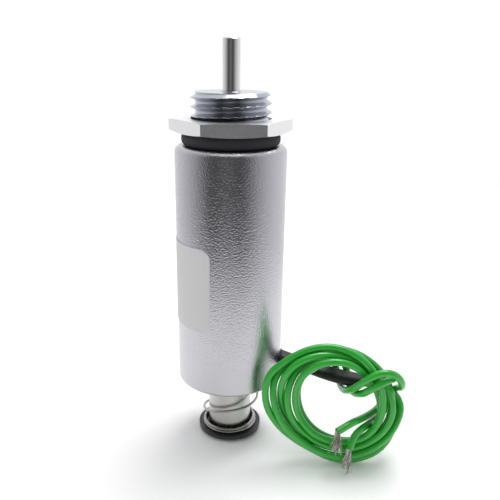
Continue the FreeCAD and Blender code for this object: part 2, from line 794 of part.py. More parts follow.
bobbin = new_body("coil_bobbin")
revolve(bobbin, [
    (BOBBIN_BORE, BOBBIN_LOW),
    (BOBBIN_OUTER, BOBBIN_LOW),
    (BOBBIN_OUTER, f"{BOBBIN_LOW} + bobbin_flange"),
    (HUB_OUTER, f"{BOBBIN_LOW} + bobbin_flange"),
    (HUB_OUTER, f"{BOBBIN_TOP} - bobbin_flange"),
    (BOBBIN_OUTER, f"{BOBBIN_TOP} - bobbin_flange"),
    (BOBBIN_OUTER, BOBBIN_TOP),
    (BOBBIN_BORE, BOBBIN_TOP),
])
pieces.append(bobbin)
pieces += build_tabs()
pieces += build_leads()
pieces += build_tails()

document.recompute()
for item in document.Objects:
    if any(state in ("Invalid", "Error") for state in item.State):
        raise RuntimeError(f"{item.Label} failed: {item.State}")

os.makedirs("parts", exist_ok=True)
for piece in pieces:
    shape = piece.Shape
    if shape.isNull() or not shape.isValid() or not shape.Solids:
        raise RuntimeError(f"{piece.Label} has no valid solid")
    shape.exportStep(os.path.join("parts", f"{piece.Label}.step"))
    print(f"{piece.Label}: {len(shape.Solids)} solid, {shape.Volume:.1f} mm3")
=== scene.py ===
"""A tubular push pull solenoid on a white floor: the visual model and its studio.

Every shape is written in millimetres in the row frame, with the axis along +Z and the
plunger's outer end at z = 0, and turned into metres where its mesh is made.
"""

import logging
import math
import random
from dataclasses import dataclass
from enum import Enum
from typing import Callable, Iterable, Sequence

import bpy
import numpy as np
from mathutils import Matrix, Vector

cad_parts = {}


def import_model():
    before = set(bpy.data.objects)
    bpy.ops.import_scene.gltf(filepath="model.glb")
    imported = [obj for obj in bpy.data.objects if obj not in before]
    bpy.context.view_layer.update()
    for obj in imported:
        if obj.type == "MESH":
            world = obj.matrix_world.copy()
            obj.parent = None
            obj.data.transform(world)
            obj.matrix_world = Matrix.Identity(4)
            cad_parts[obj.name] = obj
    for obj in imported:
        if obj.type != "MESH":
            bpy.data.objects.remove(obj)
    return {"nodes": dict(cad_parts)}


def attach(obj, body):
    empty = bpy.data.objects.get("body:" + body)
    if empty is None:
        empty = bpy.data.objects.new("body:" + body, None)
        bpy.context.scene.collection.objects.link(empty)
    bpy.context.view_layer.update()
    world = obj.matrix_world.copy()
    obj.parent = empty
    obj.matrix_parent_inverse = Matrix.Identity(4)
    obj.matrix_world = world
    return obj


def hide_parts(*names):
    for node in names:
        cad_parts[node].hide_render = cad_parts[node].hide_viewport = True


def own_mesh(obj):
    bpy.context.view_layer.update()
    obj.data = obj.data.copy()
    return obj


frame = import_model()["nodes"]

LOG = logging.getLogger("solenoid")

MM = 0.001
TURN = 2 * math.pi

Point = tuple[float, float, float]
Colour = tuple[float, float, float]


class Body(Enum):
    """The rigid bodies that a piece can ride on."""

    CASE = "case"
    PLUNGER = "plunger"
    NUT = "nut"


def smoothstep(low: float, high: float, value: float) -> float:
    """An eased step from 0 at low to 1 at high.

    Args:
        low: Where the step starts.
        high: Where the step ends.
        value: The place asked for.

    Returns:
        The height of the step there.
    """
    share = min(1.0, max(0.0, (value - low) / (high - low)))
    return share * share * (3 - 2 * share)


def catmull(values: Sequence[float], place: float) -> float:
    """A smooth curve through evenly spaced values.

    Args:
        values: The values at 0, 1, 2 and so on.
        place: The place asked for, between 0 and the last index.

    Returns:
        The curve's value there.
    """
    last = len(values) - 1
    index = min(last - 1, max(0, int(place)))
    t = place - index
    a = values[max(0, index - 1)]
    b = values[index]
    c = values[index + 1]
    d = values[min(last, index + 2)]
    return b + 0.5 * t * (c - a + t * (2 * a - 5 * b + 4 * c - d + t * (3 * (b - c) + d - a)))


def polar(radius: float, angle: float, height: float) -> Vector:
    """A point given by its radius, its angle in radians from +X and its height."""
    return Vector((radius * math.cos(angle), radius * math.sin(angle), height))


def mesh_object(
    name: str,
    points: Iterable[Sequence[float]],
    faces: Iterable[Sequence[int]],
    crease: float = 35.0,
) -> bpy.types.Object:
    """A new smooth-shaded mesh object.

    Args:
        name: The object's name.
        points: Its vertices, in millimetres.
        faces: Its faces, as vertex numbers.
        crease: Edges sharper than this many degrees stay sharp.

    Returns:
        The object, linked to the scene.
    """
    mesh = bpy.data.meshes.new(name)
    mesh.from_pydata([[MM * c for c in p] for p in points], [], [list(f) for f in faces])
    mesh.validate()
    mesh.shade_smooth()
    mesh.set_sharp_from_angle(angle=math.radians(crease))
    thing = bpy.data.objects.new(name, mesh)
    bpy.context.scene.collection.objects.link(thing)
    return thing


def tube_mesh(
    path: Sequence[Vector], radius: float, sides: int
) -> tuple[list[Vector], list[list[int]]]:
    """A capped tube along a path, with a frame that turns as little as it can.

    Args:
        path: The centre line, in millimetres.
        radius: The tube's radius.
        sides: Vertices round the tube.

    Returns:
        Its vertices and faces.
    """
    points: list[Vector] = []
    faces: list[list[int]] = []
    heading = (path[1] - path[0]).normalized()
    across = heading.orthogonal().normalized()
    for row, centre in enumerate(path):
        before = path[max(0, row - 1)]
        after = path[min(len(path) - 1, row + 1)]
        heading = (after - before).normalized()
        across = (across - heading * across.dot(heading)).normalized()
        along = heading.cross(across)
        for side in range(sides):
            angle = TURN * side / sides
            points.append(centre + radius * (math.cos(angle) * across + math.sin(angle) * along))
    for row in range(len(path) - 1):
        for side in range(sides):
            here = row * sides + side
            beside = row * sides + (side + 1) % sides
            faces.append([here, beside, beside + sides, here + sides])
    last = (len(path) - 1) * sides
    faces.append([side for side in reversed(range(sides))])
    faces.append([last + side for side in range(sides)])
    return points, faces


class Shader:
    """A node material under construction."""

    def __init__(self, name: str) -> None:
        """Start from the default surface.

        Args:
            name: The material's name.
        """
        self.material = bpy.data.materials.new(name)
        self.material.use_nodes = True
        self.tree = self.material.node_tree
        self.surface = self.tree.nodes["Principled BSDF"]
        self.place = self.add("ShaderNodeTexCoord").outputs["Object"]

    def add(self, kind: str, **settings: object) -> bpy.types.Node:
        """A new node with its settings."""
        node = self.tree.nodes.new(kind)
        for key, value in settings.items():
            setattr(node, key, value)
        return node

    def link(self, source: bpy.types.NodeSocket, target: bpy.types.NodeSocket) -> None:
        """Join two sockets."""
        self.tree.links.new(source, target)

    def put(self, node: bpy.types.Node, **values: object) -> None:
        """Set or link inputs, whose names are written with underscores."""
        for key, value in values.items():
            socket = node.inputs[key.replace("_", " ")]
            if isinstance(value, bpy.types.NodeSocket):
                self.link(value, socket)
            else:
                socket.default_value = value

    def stretched(self, scale: Point) -> bpy.types.NodeSocket:
        """Object coordinates scaled along each axis."""
        node = self.add("ShaderNodeMapping")
        self.link(self.place, node.inputs["Vector"])
        node.inputs["Scale"].default_value = scale
        return node.outputs["Vector"]

    def noise(
        self, grain: float, detail: float = 3.0, stretch: Point = (1, 1, 1)
    ) -> bpy.types.NodeSocket:
        """Noise with grains of a given size.

        Args:
            grain: The grain's size in millimetres.
            detail: Finer layers of noise.
            stretch: Scale of the coordinates along each axis.

        Returns:
            The noise's value socket.
        """
        node = self.add("ShaderNodeTexNoise")
        self.put(node, Vector=self.stretched(stretch), Scale=1 / (grain * MM), Detail=detail)
        return node.outputs[0]

    def range(self, value: bpy.types.NodeSocket, low: float, high: float) -> bpy.types.NodeSocket:
        """A value from the middle of the noise spread from low to high."""
        node = self.add("ShaderNodeMapRange")
        self.link(value, node.inputs["Value"])
        node.inputs["From Min"].default_value = 0.3
        node.inputs["From Max"].default_value = 0.7
        node.inputs["To Min"].default_value = low
        node.inputs["To Max"].default_value = high
        return node.outputs["Result"]

    def between(
        self, share: bpy.types.NodeSocket, low: Colour, high: Colour
    ) -> bpy.types.NodeSocket:
        """A colour between two, by a share."""
        node = self.add("ShaderNodeMix", data_type="RGBA")
        self.link(share, node.inputs[0])
        node.inputs[6].default_value = (*low, 1)
        node.inputs[7].default_value = (*high, 1)
        return node.outputs[2]

    def bump(self, height: bpy.types.NodeSocket, depth: float) -> None:
        """Let the surface follow a height, with its depth in millimetres."""
        node = self.add("ShaderNodeBump")
        self.put(node, Height=height, Distance=depth * MM, Strength=1.0)
        self.link(node.outputs["Normal"], self.surface.inputs["Normal"])


@dataclass(frozen=True)
class Metal:
    """A plated or polished metal with a grain."""

    name: str
    colour: Colour
    roughness: float
    grain: float = 0.4
    grain_depth: float = 0.01
    stretch: Point = (1, 1, 1)
    spread: float = 0.05

    CLOUD = 6
    DARKER = 0.93

    def material(self) -> bpy.types.Material:
        """Build the material.

        Returns:
            A metal whose roughness and surface follow its grain.
        """
        shader = Shader(self.name)
        grain = shader.noise(self.grain, 3, self.stretch)
        cloud = shader.noise(self.CLOUD, 2)
        darker = tuple(self.DARKER * c for c in self.colour)
        smooth, rough = self.roughness - self.spread, self.roughness + self.spread
        shader.put(
            shader.surface,
            Base_Color=shader.between(cloud, darker, self.colour),
            Metallic=1.0,
            Roughness=shader.range(grain, smooth, rough),
        )
        shader.bump(grain, self.grain_depth)
        return shader.material


@dataclass(frozen=True)
class Soft:
    """Rubber, plastic or insulation."""

    name: str
    colour: Colour
    roughness: float
    grain: float = 0.5
    grain_depth: float = 0.01
    darker: float = 0.93
    coat: float = 0.0

    CLOUD = 4
    SPREAD = 0.04

    def material(self) -> bpy.types.Material:
        """Build the material.

        Returns:
            A matt or glossy surface with a faint grain and cloudy colour.
        """
        shader = Shader(self.name)
        grain = shader.noise(self.grain, 2)
        cloud = shader.noise(self.CLOUD, 2)
        darker = tuple(self.darker * c for c in self.colour)
        smooth, rough = self.roughness - self.SPREAD, self.roughness + self.SPREAD
        shader.put(
            shader.surface,
            Base_Color=shader.between(cloud, darker, self.colour),
            Roughness=shader.range(grain, smooth, rough),
            Coat_Weight=self.coat,
            Coat_Roughness=0.14,
        )
        shader.bump(grain, self.grain_depth)
        return shader.material


NICKEL = Metal("nickel_plate", (0.54, 0.535, 0.565), 0.15, grain=0.36, grain_depth=0.1)
ZINC = Metal("zinc_plate", (0.56, 0.59, 0.66), 0.16, grain=0.32, grain_depth=0.02)
ZINC_THREAD = Metal("zinc_thread", (0.47, 0.49, 0.54), 0.17, grain=0.4, grain_depth=0.008)
ZINC_NUT = Metal(
    "zinc_nut",
    (0.88, 0.88, 0.875),
    0.33,
    grain=0.2,
    grain_depth=0.05,
    stretch=(1, 1, 0.5),
    spread=0.06,
)
BRUSHED = Metal(
    "brushed_steel", (0.58, 0.57, 0.55), 0.24, grain=0.5, grain_depth=0.02, stretch=(1, 1, 5)
)
POLISHED = Metal("polished_steel", (0.54, 0.53, 0.52), 0.1, grain=0.3, grain_depth=0.004)
SPRING_WIRE = Metal("spring_wire", (0.42, 0.41, 0.40), 0.18, grain=0.2, grain_depth=0.004)
TINNED = Metal("tinned_strands", (0.47, 0.44, 0.4), 0.26, grain=0.1, grain_depth=0.006)
BRASS = Metal("brass", (0.72, 0.55, 0.28), 0.3)
BRONZE = Metal("bronze", (0.6, 0.4, 0.2), 0.42)
COPPER = Metal("enamelled_copper", (0.72, 0.32, 0.14), 0.3)
BLACK_OXIDE = Soft("black_oxide", (0.010, 0.010, 0.011), 0.26, grain=0.3)
RUBBER = Soft("seal_rubber", (0.010, 0.010, 0.012), 0.4, grain=0.35, grain_depth=0.015)
SLEEVE = Soft("shrink_sleeve", (0.010, 0.010, 0.013), 0.5, grain=0.5, grain_depth=0.02)
INSULATION = Soft(
    "green_insulation", (0.009, 0.37, 0.02), 0.36, grain=1.2, grain_depth=0.02, coat=0.6
)
NYLON = Soft("bobbin_nylon", (0.8, 0.78, 0.7), 0.5)
TAPE = Soft("polyester_tape", (0.75, 0.55, 0.12), 0.35)
FILM = Soft(
    "label_film", (0.535, 0.53, 0.535), 0.5, grain=0.8, grain_depth=0.002, darker=0.985
)


def dress(thing: bpy.types.Object, finish: Metal | Soft) -> None:
    """Give a piece its finish, sharing one material among the pieces that have it."""
    known = bpy.data.materials.get(finish.name)
    thing.data.materials.clear()
    thing.data.materials.append(known or finish.material())


def bevel(thing: bpy.types.Object, width: float) -> None:
    """Break the sharp edges of a piece with a small bevel, in millimetres."""
    edge = thing.modifiers.new("edge", "BEVEL")
    edge.width = width * MM
    edge.segments = 2
    edge.limit_method = "ANGLE"
    edge.angle_limit = math.radians(40)
    edge.harden_normals = True


@dataclass
class PhotoCamera:
    """The camera that took the photo, found from the object's own edges."""

    centre: Point = (7.857, -138.151, 93.557)
    pitch: float = 0.315608
    yaw: float = -0.0232321
    roll: float = 0.0153187
    focal_px: float = 610.764
    width_px: int = 500
    sensor: float = 36.0

    def place(self) -> None:
        """Make the scene's camera."""
        sine, cosine = math.sin(self.yaw), math.cos(self.yaw)
        ahead = Vector((
            sine * math.cos(self.pitch), cosine * math.cos(self.pitch), -math.sin(self.pitch)
        ))
        right = Vector((cosine, -sine, 0))
        above = right.cross(ahead)
        across = math.cos(self.roll) * right + math.sin(self.roll) * above
        upward = math.cos(self.roll) * above - math.sin(self.roll) * right
        lens = bpy.data.cameras.new("photo_camera")
        lens.sensor_width = self.sensor
        lens.lens = self.sensor * self.focal_px / self.width_px
        lens.clip_start = 0.01
        lens.clip_end = 20
        camera = bpy.data.objects.new("photo_camera", lens)
        bpy.context.scene.collection.objects.link(camera)
        turn = Matrix((across, upward, -ahead)).transposed().to_4x4()
        camera.matrix_world = Matrix.Translation(Vector(self.centre) * MM) @ turn
        bpy.context.scene.camera = camera


@dataclass(frozen=True)
class DarkRoom:
    """The dim room beyond the table's near edge, which only shiny surfaces see."""

    radius: float = 93.0
    height: float = 190.0
    fade: float = 26.0
    front: float = math.radians(-95.0)
    spread: float = math.radians(165.0)
    columns: int = 120
    tones: tuple[tuple[float, float], ...] = (
        (0.0, 0.17), (0.12, 0.07), (0.19, 0.09), (0.26, 0.26),
        (0.36, 0.5), (0.56, 0.82), (0.8, 1.0),
    )

    def build(self) -> bpy.types.Object:
        """Stand the room's wall round the front of the object.

        Returns:
            The wall, open at the back.
        """
        points: list[Vector] = []
        for column in range(self.columns + 1):
            angle = self.front + self.spread * (2 * column / self.columns - 1)
            points += [polar(self.radius, angle, height) for height in (0.5, self.height)]
        faces = [[2 * k, 2 * k + 2, 2 * k + 3, 2 * k + 1] for k in range(self.columns)]
        wall = mesh_object("dark_room", points, faces)
        wall.data.materials.append(self.material())
        wall.visible_camera = False
        wall.visible_diffuse = False
        wall.visible_shadow = False
        wall.visible_transmission = False
        return wall

    def material(self) -> bpy.types.Material:
        """Dark in front, light towards the sides, and clear at its foot."""
        shader = Shader("dark_room")
        turned = shader.add("ShaderNodeVectorRotate", rotation_type="Z_AXIS")
        shader.put(turned, Vector=shader.place, Angle=-self.front)
        parts = shader.add("ShaderNodeSeparateXYZ")
        shader.link(turned.outputs[0], parts.inputs[0])
        angle = shader.add("ShaderNodeMath", operation="ARCTAN2")
        shader.link(parts.outputs["Y"], angle.inputs[0])
        shader.link(parts.outputs["X"], angle.inputs[1])
        size = shader.add("ShaderNodeMath", operation="ABSOLUTE")
        shader.link(angle.outputs[0], size.inputs[0])
        share = shader.add("ShaderNodeMath", operation="DIVIDE")
        shader.link(size.outputs[0], share.inputs[0])
        share.inputs[1].default_value = math.pi
        ramp = shader.add("ShaderNodeValToRGB")
        shader.link(share.outputs[0], ramp.inputs[0])
        stops = ramp.color_ramp.elements
        while len(stops) < len(self.tones):
            stops.new(0.5)
        for stop, (place, tone) in zip(stops, self.tones):
            stop.position = place
            stop.color = (tone, tone, 1.03 * tone, 1)
        glow = shader.add("ShaderNodeEmission")
        shader.link(ramp.outputs[0], glow.inputs["Color"])
        clear = shader.add("ShaderNodeBsdfTransparent")
        foot = shader.add("ShaderNodeMapRange", interpolation_type="SMOOTHSTEP")
        shader.put(foot, Value=parts.outputs["Z"], From_Min=0.0, From_Max=self.fade * MM)
        mixed = shader.add("ShaderNodeMixShader")
        shader.link(foot.outputs["Result"], mixed.inputs[0])
        shader.link(clear.outputs[0], mixed.inputs[1])
        shader.link(glow.outputs[0], mixed.inputs[2])
        shader.link(mixed.outputs[0], shader.tree.nodes["Material Output"].inputs["Surface"])
        return shader.material


@dataclass(frozen=True)
class SoftBox:
    """A square lamp that faces the middle of the object."""

    name: str
    centre: Point
    size: float
    power: float

    AIM = Vector((0, 0, 40))

    def build(self) -> bpy.types.Object:
        """Hang the lamp.

        Returns:
            The lamp, linked to the scene.
        """
        data = bpy.data.lights.new(self.name, "AREA")
        data.size = self.size * MM
        data.energy = self.power
        lamp = bpy.data.objects.new(self.name, data)
        bpy.context.scene.collection.objects.link(lamp)
        turn = (Vector(self.centre) - self.AIM).to_track_quat("Z", "Y").to_matrix().to_4x4()
        lamp.matrix_world = Matrix.Translation(Vector(self.centre) * MM) @ turn
        return lamp


@dataclass
class Studio:
    """A white floor, a white room and soft lamps."""

    floor_radius: float = 2500.0
    floor_tone: float = 0.97
    fade_from: float = 160.0
    fade_to: float = 420.0
    ambient: float = 0.64

    LAMPS = (
        SoftBox("lamp_top", (110, 170, 600), 320.0, 2.4),
        SoftBox("lamp_left", (-420, -180, 320), 380.0, 0.5),
    )

    def build(self) -> None:
        """Make the floor, the room and the lamps."""
        bpy.context.scene.view_settings.view_transform = "Standard"
        self.floor()
        DarkRoom().build()
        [lamp.build() for lamp in self.LAMPS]
        self.room()

    def floor(self) -> bpy.types.Object:
        """The round floor, which fades to plain white away from the object."""
        count = 96
        rings = (40.0, 120.0, 300.0, 900.0, self.floor_radius)
        points: list[Vector] = [Vector((0, 0, 0))]
        faces: list[list[int]] = []
        for ring, radius in enumerate(rings):
            points += [polar(radius, TURN * k / count, 0) for k in range(count)]
            for k in range(count):
                here, beside = 1 + ring * count + k, 1 + ring * count + (k + 1) % count
                inner = [0] if ring == 0 else [beside - count, here - count]
                faces.append([here, beside, *inner])
        floor = mesh_object("floor", points, faces)
        shader = Shader("floor_white")
        shader.put(
            shader.surface,
            Base_Color=(self.floor_tone, self.floor_tone, self.floor_tone * 1.008, 1),
            Roughness=0.55,
        )
        length = shader.add("ShaderNodeVectorMath", operation="LENGTH")
        shader.link(shader.place, length.inputs[0])
        fade = shader.add("ShaderNodeMapRange", interpolation_type="SMOOTHSTEP")
        shader.put(
            fade,
            Value=length.outputs["Value"],
            From_Min=self.fade_from * MM,
            From_Max=self.fade_to * MM,
        )
        glow = shader.add("ShaderNodeEmission")
        shader.put(glow, Color=(1, 1, 1, 1), Strength=1.0)
        mixed = shader.add("ShaderNodeMixShader")
        shader.link(fade.outputs["Result"], mixed.inputs[0])
        shader.link(shader.surface.outputs[0], mixed.inputs[1])
        shader.link(glow.outputs[0], mixed.inputs[2])
        shader.link(mixed.outputs[0], shader.tree.nodes["Material Output"].inputs["Surface"])
        floor.data.materials.append(shader.material)
        return floor

    def room(self) -> None:
        """White for the camera and the shiny surfaces, softer as a light."""
        world = bpy.data.worlds.new("room")
        bpy.context.scene.world = world
        world.use_nodes = True
        tree = world.node_tree
        light = tree.nodes["Background"]
        path = tree.nodes.new("ShaderNodeLightPath")
        seen = tree.nodes.new("ShaderNodeMath")
        seen.operation = "MAXIMUM"
        tree.links.new(path.outputs["Is Camera Ray"], seen.inputs[0])
        tree.links.new(path.outputs["Is Glossy Ray"], seen.inputs[1])
        strength = tree.nodes.new("ShaderNodeMapRange")
        strength.inputs["To Min"].default_value = self.ambient
        strength.inputs["To Max"].default_value = 1.0
        tree.links.new(seen.outputs[0], strength.inputs["Value"])
        tree.links.new(strength.outputs["Result"], light.inputs["Strength"])
        light.inputs["Color"].default_value = (1, 1, 1, 1)


@dataclass(frozen=True)
class CoilPlane:
    """The plane of the upright coil, which leans back about its foot."""

    foot: Point = (25.0, -15.0, 0.5)
    lean: float = math.radians(6.0)
    hub: tuple[float, float] = (0.85, 14.65)

    def point(self, across: float, height: float, depth: float) -> Vector:
        """A point from its place across, up and behind the plane."""
        return Vector(self.foot) + Vector((
            across,
            depth * math.cos(self.lean) + height * math.sin(self.lean),
            height * math.cos(self.lean) - depth * math.sin(self.lean),
        ))

    def round(self, radius: float, angle: float, depth: float) -> Vector:
        """A point from its radius and its angle round the hub."""
        return self.point(
            self.hub[0] + radius * math.cos(angle), self.hub[1] + radius * math.sin(angle), depth
        )


@dataclass(frozen=True)
class Track:
    """One turn round the coil: a radius and a depth for each eighth, from 45 degrees on."""

    stations: tuple[tuple[float, float], ...]


@dataclass
class Lead:
    """One green lead, from its terminal through the sleeve and the coil to its bare end."""

    name: str
    side: float
    turns: tuple[Track, ...]
    entry: tuple[Point, ...]
    wrap: tuple[Point, ...]
    tail: tuple[Point, ...]
    tip: Point
    replaced: tuple[str, ...]
    seed: int
    nudges: tuple[Point, ...]
    first: float = 1.0
    last: float = 22.5
    diameter: float = 1.7
    apart: float = 1.84
    strands: int = 26
    strand: float = 0.2
    case_side: float = 12.7

    RUN = (
        (0.0, 0.0, 20.5),
        (0.3, 0.0, 20.5),
        (6.1, -1.4, 19.0),
        (12.5, -5.6, 18.8),
        (19.1, -10.4, 19.9),
    )
    SPREAD = Vector((0.26, 0.966, 0))
    STEP = 0.5
    ROUNDING = 0.01
    FRAY_STEPS = 12
    FRAY_CORE = 0.6
    FRAY_SPREAD = 1.5
    FRAY_TURN = 2.2
    FRAY_SWAY = 0.35
    FRAY_START = 0.5

    def route(self, plane: CoilPlane) -> list[Vector]:
        """The route's points, in millimetres.

        Args:
            plane: Where the coil stands.

        Returns:
            The points that the lead's spline follows.
        """
        offset = self.SPREAD * (self.side * self.apart)
        points = [Vector((self.case_side + out, y, z)) + offset for out, y, z in self.RUN]
        points += [plane.point(*p) for p in self.entry]
        stations = [s for track in self.turns for s in track.stations]
        radii = [radius for radius, _ in stations]
        depths = [depth for _, depth in stations]
        bend = TURN / 8
        swell = 1 / math.cos(bend * self.STEP / 2)
        place = self.first
        nudged = {where: (out, back) for where, out, back in self.nudges}
        while place <= self.last + self.ROUNDING:
            out, back = nudged.get(place, (0.0, 0.0))
            radius = swell * (catmull(radii, place) + out)
            depth = catmull(depths, place) + back
            points.append(plane.round(radius, bend * (1 - place), depth))
            place += self.STEP
        points += [plane.point(*p) for p in self.wrap]
        points += [Vector((self.case_side + out, y, z)) for out, y, z in self.tail]
        return points

    def build(self, points: Sequence[Vector]) -> list[bpy.types.Object]:
        """Make the lead and its bare strands.

        Args:
            points: The points that the lead's spline follows, in millimetres.

        Returns:
            The lead's curve and its strands.
        """
        data = bpy.data.curves.new(self.name, "CURVE")
        data.dimensions = "3D"
        data.bevel_depth = 1.0
        data.bevel_resolution = 4
        data.resolution_u = 4
        data.use_fill_caps = True
        spline = data.splines.new("NURBS")
        spline.points.add(len(points) - 1)
        for knot, point in zip(spline.points, points):
            knot.co = (*(point * MM), 1)
            # Blender adds the points' radius to the curve's box, so it is the lead's own.
            knot.radius = self.diameter / 2 * MM
        spline.order_u = 3
        spline.use_endpoint_u = True
        lead = bpy.data.objects.new(self.name, data)
        bpy.context.scene.collection.objects.link(lead)
        dress(lead, INSULATION)
        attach(lead, Body.CASE.value)
        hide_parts(*self.replaced)
        bare = self.fray(points[-1], Vector((self.case_side, 0, 0)) + Vector(self.tip))
        length = self.curve_length(lead)
        LOG.info("%s is %.1f mm long", self.name, length / MM)
        return [lead, bare]

    @staticmethod
    def curve_length(lead: bpy.types.Object) -> float:
        """Length of the lead's own line, in metres."""
        depth = lead.data.bevel_depth
        lead.data.bevel_depth = 0
        bpy.context.view_layer.update()
        line = lead.evaluated_get(bpy.context.evaluated_depsgraph_get()).to_mesh()
        points = [v.co.copy() for v in line.vertices]
        lead.data.bevel_depth = depth
        bpy.context.view_layer.update()
        return sum((b - a).length for a, b in zip(points, points[1:]))

    def fray(self, start: Vector, tip: Vector) -> bpy.types.Object:
        """The bare strands: a loose twist that opens towards its end.

        Args:
            start: Where the insulation ends.
            tip: The middle of the strands' ends.

        Returns:
            One object with every strand.
        """
        dice = random.Random(self.seed)
        points: list[Vector] = []
        faces: list[list[int]] = []
        heading = (tip - start).normalized()
        across = heading.cross(Vector((0, 1, 0))).normalized()
        along = heading.cross(across)
        reach = (tip - start).length
        for number in range(self.strands):
            turn = TURN * number / self.strands + dice.uniform(-0.3, 0.3)
            inner = self.FRAY_CORE * math.sqrt(dice.random())
            outer = inner + dice.uniform(0.2, 1.0) ** 2 * self.FRAY_SPREAD
            long = reach * dice.uniform(0.6, 1.1)
            wave = dice.uniform(0.4, 1.7)
            path = []
            for step in range(self.FRAY_STEPS + 1):
                share = step / self.FRAY_STEPS
                sway = self.FRAY_SWAY * math.sin(5 * share + turn)
                angle = turn + wave * share * self.FRAY_TURN + sway
                radius = inner + (outer - inner) * share**1.7
                centre = start + heading * (long * share - self.FRAY_START)
                place = centre + radius * (math.cos(angle) * across + math.sin(angle) * along)
                place.z = max(place.z, self.strand)
                path.append(place)
            made, skin = tube_mesh(path, self.strand / 2, 6)
            faces += [[len(points) + corner for corner in face] for face in skin]
            points += made
        bare = mesh_object(f"{self.name}_strands", points, faces, 60)
        dress(bare, TINNED)
        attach(bare, Body.CASE.value)
        return bare


@dataclass
class Settling:
    """Eases the leads' turns apart until no strand lies in another."""

    rounds: int = 340
    clearance: float = 0.2
    tightest: float = 3.7
    sleeve_wall: float = 0.5
    sleeve_end: float = 31.8
    floor: float = 0.06
    pull_back: float = 0.98
    smoothing: float = 0.1
    easing: float = 0.13
    lean: float = 0.03
    nearest: float = 0.05

    SHARES = (
        (0.5, 0.5, 0.0),
        (0.28125, 0.6875, 0.03125),
        (0.125, 0.75, 0.125),
        (0.03125, 0.6875, 0.28125),
    )
    SIDEWAYS = np.array((0.6, 1.0, 0.6))
    SAME_STRAND = 15

    def samples(self, routes: Sequence[np.ndarray]) -> tuple[np.ndarray, np.ndarray]:
        """Places along the leads' splines, four between each two points.

        Args:
            routes: The points of each lead's spline.

        Returns:
            The share of every point in each place, and the lead that each place is on.
        """
        count = sum(len(route) for route in routes)
        rows: list[np.ndarray] = []
        owners: list[int] = []
        first = 0
        for owner, route in enumerate(routes):
            for index in range(first, first + len(route) - 2):
                for shares in self.SHARES:
                    row = np.zeros(count)
                    row[index:index + 3] = shares
                    rows.append(row)
                    owners.append(owner)
            first += len(route)
        return np.array(rows), np.array(owners)

    def spacing(
        self, places: np.ndarray, owner: np.ndarray, lead: Lead
    ) -> tuple[np.ndarray, np.ndarray]:
        """How far apart two places have to lie, and which pairs of places count.

        Args:
            places: The places along the leads.
            owner: The lead that each place is on.
            lead: Any of the leads.

        Returns:
            The wanted distance of each pair, and whether the pair counts.
        """
        order = np.arange(len(owner))
        early = order - np.array([np.argmax(owner == which) for which in owner])
        sleeved = (places[:, 0] < self.sleeve_end) & (early < len(self.SHARES) * len(lead.RUN))
        reach = lead.diameter / 2 + np.where(sleeved, self.sleeve_wall, 0.0)
        wanted = reach[:, None] + reach[None] + self.clearance
        counts = owner[:, None] != owner[None]
        counts |= abs(order[:, None] - order[None]) > self.SAME_STRAND
        counts &= ~(sleeved[:, None] & sleeved[None])
        return wanted, counts

    def settle(self, leads: Sequence[Lead], plane: CoilPlane) -> list[list[Vector]]:
        """Push the strands apart, mostly in depth, and keep each lead's bends smooth.

        Args:
            leads: The leads.
            plane: Where the coil stands.

        Returns:
            The points that each lead's spline follows.
        """
        routes = [np.array([tuple(p) for p in lead.route(plane)]) for lead in leads]
        start = np.vstack(routes)
        knots = start.copy()
        ends = np.cumsum([0] + [len(route) for route in routes])
        spans = list(zip(ends, ends[1:]))
        free = np.ones((len(start), 1))
        for lead, (first, last) in zip(leads, spans):
            free[first:first + len(lead.RUN)] = 0
            free[last - 1] = 0
        weights, owner = self.samples(routes)
        wanted, counts = self.spacing(weights @ start, owner, leads[0])
        order = np.arange(len(owner))
        lean = np.sign(order[:, None] - order[None]) * self.lean
        for _ in range(self.rounds):
            places = weights @ knots
            gap = places[:, None] - places[None]
            gap[..., 1] += lean
            apart = np.maximum(np.linalg.norm(gap, axis=2), self.nearest)
            push = np.where(counts & (apart < wanted), 0.5 * (wanted - apart) / apart, 0)
            force = (gap * push[..., None]).sum(axis=1) * self.SIDEWAYS
            knots = knots + free * (weights.T @ force)
            shift = (knots - start) * self.pull_back
            for first, last in spans:
                part = shift[first:last]
                part[1:-1] += self.smoothing * (part[:-2] + part[2:] - 2 * part[1:-1])
            knots = start + shift * free
            for first, last in spans:
                knots[first:last] += free[first:last] * self.eased(knots[first:last])
            knots[:, 2] = np.maximum(knots[:, 2], leads[0].diameter / 2 + self.floor)
        return [[Vector(p) for p in knots[first:last]] for first, last in spans]

    def eased(self, knots: np.ndarray) -> np.ndarray:
        """How far to move a lead's points to open its tightest bends a little.

        Args:
            knots: The points of one lead's spline.

        Returns:
            A step for each point, which is zero where the bend is wide enough.
        """
        steps = np.zeros_like(knots)
        before = knots[1:-1] - knots[:-2]
        after = knots[2:] - knots[1:-1]
        short = np.linalg.norm(before, axis=1)
        long = np.linalg.norm(after, axis=1)
        cosine = (before * after).sum(axis=1) / (short * long)
        half = np.arccos(np.clip(cosine, -1, 1)) / 2
        bend = np.minimum(short, long) / 2 * np.cos(half) ** 2 / np.maximum(np.sin(half), 1e-6)
        tight = (bend < self.tightest)[:, None]
        steps[1:-1] = np.where(tight, self.easing * (after - before), 0)
        return steps


